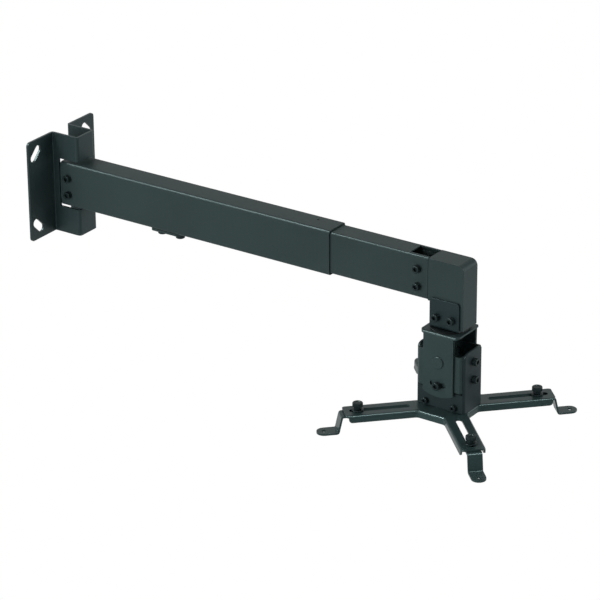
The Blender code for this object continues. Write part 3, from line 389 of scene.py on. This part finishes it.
def screwRows(size, grip, look):
    # outline of a socket cap screw from the bottom of its socket, over the knurled head, to the threaded tip
    shank, head, top = size["shank"] / 2, size["head"] / 2, size["height"]
    flat = size["socket"] / 2
    fillet = look["fillet"]
    socket = [
        (axisRadius, top * look["socketFloor"], 1, 0, 0),
        (flat * 0.9, top * look["socketSlope"], 1, 0, 0),
        (flat, top * look["socketFoot"], 1, 0, 0),
        (flat, top - look["rimDepth"], 1, 0, 0),
        (flat * 1.05, top - 0.1, 0.8, 0, 0),
        (flat * look["rimSpread"], top, 0.1, 0, 0)]
    roundedTop = [
        (head - look["topRound"], top, 0, 0, 0),
        (head - 0.45, top - 0.05, 0, 0, 0),
        (head - 0.15, top - 0.3, 0, 0, 0.1)]
    knurledSide = [
        (head, top - 0.65, 0, 0, 0.8),
        (head, top - 0.8, 0, 0, 1),
        (head, 0.7, 0, 0, 1),
        (head, 0.5, 0, 0, 0.4),
        (head - 0.1, 0.3, 0, 0, 0)]
    underHead = [
        (head - fillet, 0.0, 0, 0, 0),
        (shank + fillet, 0.0, 0, 0, 0),
        (shank, -fillet, 0, 0, 0)]
    tip = [
        (shank * look["tipRound"], -grip + 0.1, 0, 0, 0),
        (shank * look["tipShare"], -grip, 0, 0, 0),
        (axisRadius, -grip, 0, 0, 0)]
    thread = threadRows(shank, 0.0, grip, look, size["pitch"])
    return socket + roundedTop + knurledSide + underHead + thread + tip


def makeScrew(nodeName, sizeName, outward, look):
    # the node's box gives the axis, the top of the head and the tip
    low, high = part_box(nodeName)
    size = screwSizes[sizeName]
    axis = max(range(3), key=lambda i: abs(outward[i]))
    top = (high if outward[axis] > 0 else low)[axis]
    length = (high - low)[axis] / millimetre
    spot = (low + high) / 2
    spot[axis] = top - outward[axis] * size["height"] * millimetre
    rows = screwRows(size, length - size["height"], look)
    columns = look["ridges"] * look["sidesPerRidge"]
    points, lathe = turnedGrid(rows, columns, size["pitch"], size["pitch"] * look["threadDepth"],
                               look["ridges"], look["ridgeDepth"])
    placePiece(surfaceObject(nodeName + "_dressed", standOn(points, spot, outward), lathe), nodeName)


near = (0, -1, 0)
far = (0, 1, 0)
fromWall = (1, 0, 0)
toWall = (-1, 0, 0)
down = (0, 0, -1)
screwFamilies = {"bracket_bolt": "M5", "elbow_screw": "M5", "drop_screw": "M5", "frame_screw": "M4"}
screwHeads = {  # size, and the way that the head faces
    "clamp_screw_rear": ("M6", down), "clamp_screw_front": ("M6", down),
    "tilt_bolt_near": ("M5", near), "tilt_bolt_far": ("M5", far),
    "roll_pivot_back": ("M5", toWall), "roll_pivot_front": ("M5", fromWall),
    "roll_bolt_back": ("M5", toWall), "roll_bolt_front": ("M5", fromWall),
}
for family, sizeName in screwFamilies.items():
    for number, outward in ((1, near), (2, near), (3, far), (4, far)):
        makeScrew(f"{family}_{number}", sizeName, outward, screwLook)
for nodeName, (sizeName, outward) in screwHeads.items():
    makeScrew(nodeName, sizeName, outward, screwLook)
print("mount: screws made")


# thumb screws

knobLook = {  # lengths are in mm
    "radius": 5.5, "height": 7.4, "dish": 0.5,
    "ridges": 24, "ridgeDepth": 0.42, "sidesPerRidge": 6,
    "neck": 4.0, "neckHeight": 2.6,  # radius and height of the plain neck under the knurl
    "thread": 6.0, "pitch": 1.0,
    "threadStart": 0.3, "threadEnd": 0.4,  # plain lengths under the neck and before the tip
    "fadeStart": 0.0, "fade": 1.0,  # where the thread starts to grow, and over what length
    "threadDepth": 0.45,  # as a share of the pitch
    "rowsPerPitch": 4,
    "tipShare": 0.8, "tipRound": 0.85,  # radii of the tip, as shares of the shank's
}


def knobRows(look, base, tip):
    # outline of a thumb screw: dished top, chamfered knurled head, neck and thread
    radius, height, neck, neckTop = look["radius"], look["height"], look["neck"], look["neckHeight"]
    shank = look["thread"] / 2
    outline = [
        (axisRadius, height - look["dish"], 0), (radius * 0.50, height - look["dish"], 0),
        (radius * 0.60, height, 0), (radius * 0.86, height, 0),
        (radius * 0.95, height - 0.2, 0.3), (radius, height - 0.6, 1),
        (radius, neckTop + 0.9, 1), (radius * 0.95, neckTop + 0.35, 0.3),
        (neck + 0.4, neckTop, 0), (neck, neckTop - 0.35, 0),
        (neck, 0.25, 0), (neck - 0.25, 0.0, 0), (shank, 0.0, 0)]
    head = [(reach, base + level, 0, 0, ridge) for reach, level, ridge in outline]
    end = [
        (shank * look["tipRound"], tip + 0.05, 0, 0, 0),
        (shank * look["tipShare"], tip, 0, 0, 0),
        (axisRadius, tip, 0, 0, 0)]
    return head + threadRows(shank, base, base - tip, look, look["pitch"]) + end


def makeKnob(nodeName, look):
    # the node's box gives the middle, the top of the head and the tip of the thread
    low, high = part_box(nodeName)
    spot = (low + high) / 2
    tip = (low.z - spot.z) / millimetre
    base = (high.z - spot.z) / millimetre - look["height"]
    columns = look["ridges"] * look["sidesPerRidge"]
    points, lathe = turnedGrid(knobRows(look, base, tip), columns, look["pitch"],
                               look["pitch"] * look["threadDepth"], look["ridges"], look["ridgeDepth"])
    placePiece(surfaceObject(nodeName + "_dressed", points + np.array(spot), lathe), nodeName)


armNames = ("left", "front", "right", "back")
for armName in armNames:
    makeKnob("knob_" + armName, knobLook)
print("mount: thumb screws made")


# washers

washerLooks = {  # radius of the hole and width of the broken edge, in mm, with the number of sides
    **{"knob_washer_" + armName: (3.3, 0.15, 48) for armName in armNames},
    "swivel_washer": (5.3, 0.2, 72),
    "swivel_disc": (5.3, 0.3, 96),
}


def ringGrid(inner, outer, thickness, edge, columns):
    # a washer's section carried round a circle: a rectangle whose corners are cut by edge, in mm
    section = np.array([
        (inner, edge), (inner + edge, 0), (outer - edge, 0), (outer, edge),
        (outer, thickness - edge), (outer - edge, thickness), (inner + edge, thickness),
        (inner, thickness - edge)])
    angle = np.linspace(0, 2 * math.pi, columns, endpoint=False)[None, :]
    reach = section[:, :1] + 0 * angle
    level = section[:, 1:] + 0 * angle
    points = np.stack([reach * np.cos(angle), reach * np.sin(angle), level], -1) * millimetre
    return points, np.stack([reach, level, 0 * level], -1)


def makeWasher(nodeName, hole, edge, columns):
    # the node's box gives the width and the thickness
    low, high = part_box(nodeName)
    thickness = (high.z - low.z) / millimetre
    points, lathe = ringGrid(hole, (high.x - low.x) / 2 / millimetre, thickness, edge, columns)
    middle = np.array([(low.x + high.x) / 2, (low.y + high.y) / 2, low.z])
    placePiece(ringObject(nodeName + "_dressed", points + middle, lathe), nodeName)


for nodeName, look in washerLooks.items():
    makeWasher(nodeName, *look)
print("mount: washers made")


# folded sheets, tubes, nut and pins: the node's own shape with its cut edges broken, as a coated edge is

edgeWidths = {  # width of the rounded edge, in mm
    "wall_bracket": 0.45, "outer_tube": 0.30, "inner_tube": 0.30, "clamp_plate": 0.5, "clamp_bar": 0.3,
    "elbow": 0.4, "drop_bracket": 0.4, "yoke": 0.4, "tilt_frame": 0.35, "roll_frame": 0.4, "saddle": 0.3,
    "spider": 0.4, "foot_left": 0.45, "foot_front": 0.45, "foot_right": 0.45, "foot_back": 0.45,
    "swivel_nut": 0.3, "saddle_rivet_back": 0.15, "saddle_rivet_front": 0.15, "swivel_bolt": 0.3,
    "tilt_pivot_near": 0.15, "tilt_pivot_far": 0.15,
}
edgeLook = {
    "mergeDistance": 0.002 * millimetre,
    "flatAngle": 0.4,  # degrees: faces that meet at less become one
    "sharpAngle": 40,  # degrees: an edge that bends more is rounded
    "segments": 2,
    "flatWeight": 100,  # how far the large faces decide the normals
}


def breakEdges(nodeName, width, look):
    # a merged copy of the node, flat faces joined, sharp edges rounded by a live bevel with kept normals
    mesh = bpy.data.meshes.new(nodeName + "_dressed")
    shell = bmesh.new()
    shell.from_mesh(nodes[nodeName].data)
    bmesh.ops.remove_doubles(shell, verts=shell.verts, dist=look["mergeDistance"])
    bmesh.ops.dissolve_limit(shell, angle_limit=math.radians(look["flatAngle"]), verts=shell.verts,
                             edges=shell.edges)
    shell.to_mesh(mesh)
    shell.free()
    mesh.shade_smooth()
    obj = addObject(nodeName + "_dressed", mesh)
    bevel = obj.modifiers.new("brokenEdge", "BEVEL")
    bevel.width = width * millimetre
    bevel.segments = look["segments"]
    bevel.limit_method = "ANGLE"
    bevel.angle_limit = math.radians(look["sharpAngle"])
    normals = obj.modifiers.new("flatFaces", "WEIGHTED_NORMAL")
    normals.weight = look["flatWeight"]
    normals.keep_sharp = True
    placePiece(obj, nodeName)


for nodeName, width in edgeWidths.items():
    breakEdges(nodeName, width, edgeLook)
print("mount: sheets and tubes dressed")


# studio

studio = {  # metres and watts
    "floorLevel": -0.62, "floorSize": 9.0, "floorColour": (0.86, 0.86, 0.86, 1), "floorRoughness": 0.9,
    "fill": 0.20,  # strength of the world's even light
    "lamps": {  # place, what it points at, width, height, watts
        "leftBox": ((-0.3, -2.9, 0.4), (0.3, 0.0, -0.05), 1.6, 1.6, 53.0),
        "rightBox": ((2.3, 1.6, 0.6), (0.3, 0.0, -0.05), 1.6, 1.6, 37.0),
        "topBox": ((-1.05, -1.07, 1.9), (0.3, 0.0, -0.05), 1.0, 1.0, 16.0),
    },
    "glints": {  # small lamps seen only as gloss, one along the tubes' bends and one along the arms'
        "tubeGlint": ((-1.05, -1.07, 1.9), (0.3, 0.0, -0.05), 0.5, 0.5, 240.0),
        "armGlint": ((1.40, -0.38, 1.95), (0.45, 0.0, -0.12), 0.5, 0.5, 90.0),
    },
}
cameraView = {  # degrees and metres, with the lens and the sensor in mm
    "azimuth": 34.61, "elevation": 24.18, "roll": -0.43, "target": (0.31466, -0.00026, -0.0692),
    "distance": 3.34494, "lens": 191.92, "sensor": 36.0, "clipStart": 0.05, "clipEnd": 60,
}
white = {"Color": (1, 1, 1, 1), "Strength": 1.0}  # renders as pure white where it is seen


def placeCamera(view):
    # back = (sin a cos e, -cos a cos e, sin e) runs from the target to the eye, and the roll turns the other
    # two directions of the camera round it
    a, e, r = [math.radians(view[key]) for key in ("azimuth", "elevation", "roll")]
    back = Vector((math.sin(a) * math.cos(e), -math.cos(a) * math.cos(e), math.sin(e)))
    right = Vector((math.cos(a), math.sin(a), 0))
    up = back.cross(right)
    turnedRight = right * math.cos(r) + up * math.sin(r)
    turnedUp = up * math.cos(r) - right * math.sin(r)
    lens = bpy.data.cameras.new("photoCamera")
    lens.sensor_width = view["sensor"]
    lens.lens = view["lens"]
    lens.clip_start = view["clipStart"]
    lens.clip_end = view["clipEnd"]
    camera = addObject("photoCamera", lens)
    turn = Matrix((turnedRight, turnedUp, back)).transposed().to_4x4()
    camera.matrix_world = Matrix.Translation(Vector(view["target"]) + back * view["distance"]) @ turn
    bpy.context.scene.camera = camera


def placeLamps(lamps, glossOnly=False):
    # each faces its target, and a gloss-only one shows in gloss but adds no light to the colour
    for name, (place, target, width, height, watts) in lamps.items():
        light = bpy.data.lights.new(name, "AREA")
        light.shape = "RECTANGLE"
        light.size = width
        light.size_y = height
        light.energy = watts
        lamp = addObject(name, light)
        lamp.location = place
        lamp.rotation_euler = (Vector(target) - Vector(place)).to_track_quat("-Z", "Y").to_euler()
        lamp.visible_diffuse = not glossOnly


def seenWhite(tree, lit, seen, place):
    # the seen shader for the eye, gloss and glass, and the lit shader for all light that falls on the object
    path = addNode(tree, "ShaderNodeLightPath", (place[0] - 600, place[1]))
    eyeOrGloss = addNode(tree, "ShaderNodeMath", (place[0] - 400, place[1]), operation="MAXIMUM")
    anyOfThem = addNode(tree, "ShaderNodeMath", (place[0] - 200, place[1]), operation="MAXIMUM")
    tree.links.new(path.outputs["Is Camera Ray"], eyeOrGloss.inputs[0])
    tree.links.new(path.outputs["Is Glossy Ray"], eyeOrGloss.inputs[1])
    tree.links.new(eyeOrGloss.outputs[0], anyOfThem.inputs[0])
    tree.links.new(path.outputs["Is Transmission Ray"], anyOfThem.inputs[1])
    mix = addNode(tree, "ShaderNodeMixShader", place)
    tree.links.new(anyOfThem.outputs[0], mix.inputs["Fac"])
    tree.links.new(lit.outputs[0], mix.inputs[1])
    tree.links.new(seen.outputs[0], mix.inputs[2])
    return mix


def makeRoom(look):
    # an even white room that gives only a little light
    world = bpy.data.worlds.new("paleRoom")
    bpy.context.scene.world = world
    world.use_nodes = True
    tree = world.node_tree
    lit = tree.nodes["Background"]
    lit.inputs["Color"].default_value = white["Color"]
    lit.inputs["Strength"].default_value = look["fill"]
    seen = addNode(tree, "ShaderNodeBackground", (-200, -200), white)
    mix = seenWhite(tree, lit, seen, (0, 0))
    tree.links.new(mix.outputs[0], tree.nodes["World Output"].inputs["Surface"])


def makeFloorPaint(look):
    # white from above, and clear from below so that the underside of the mount can be seen
    paint = bpy.data.materials.new("paleFloor")
    paint.use_nodes = True
    tree = paint.node_tree
    lit = tree.nodes["Principled BSDF"]
    lit.inputs["Base Color"].default_value = look["floorColour"]
    lit.inputs["Roughness"].default_value = look["floorRoughness"]
    seen = addNode(tree, "ShaderNodeEmission", (-200, -300), white)
    above = seenWhite(tree, lit, seen, (400, 0))
    below = addNode(tree, "ShaderNodeBsdfTransparent", (400, -300))
    facing = addNode(tree, "ShaderNodeNewGeometry", (400, 300))
    sides = addNode(tree, "ShaderNodeMixShader", (700, 0))
    tree.links.new(facing.outputs["Backfacing"], sides.inputs["Fac"])
    tree.links.new(above.outputs[0], sides.inputs[1])
    tree.links.new(below.outputs[0], sides.inputs[2])
    tree.links.new(sides.outputs[0], tree.nodes["Material Output"].inputs["Surface"])
    return paint


def makeFloor(look):
    half = look["floorSize"] / 2
    corners = [(x * half, y * half, look["floorLevel"]) for x, y in ((-1, -1), (1, -1), (1, 1), (-1, 1))]
    mesh = bpy.data.meshes.new("paleFloor")
    mesh.from_pydata(corners, [], [(0, 1, 2, 3)])
    mesh.materials.append(makeFloorPaint(look))
    floor = addObject("paleFloor", mesh)


placeCamera(cameraView)
placeLamps(studio["lamps"])
placeLamps(studio["glints"], glossOnly=True)
makeRoom(studio)
makeFloor(studio)
bpy.context.scene.view_settings.view_transform = "Standard"
print("mount: studio made")
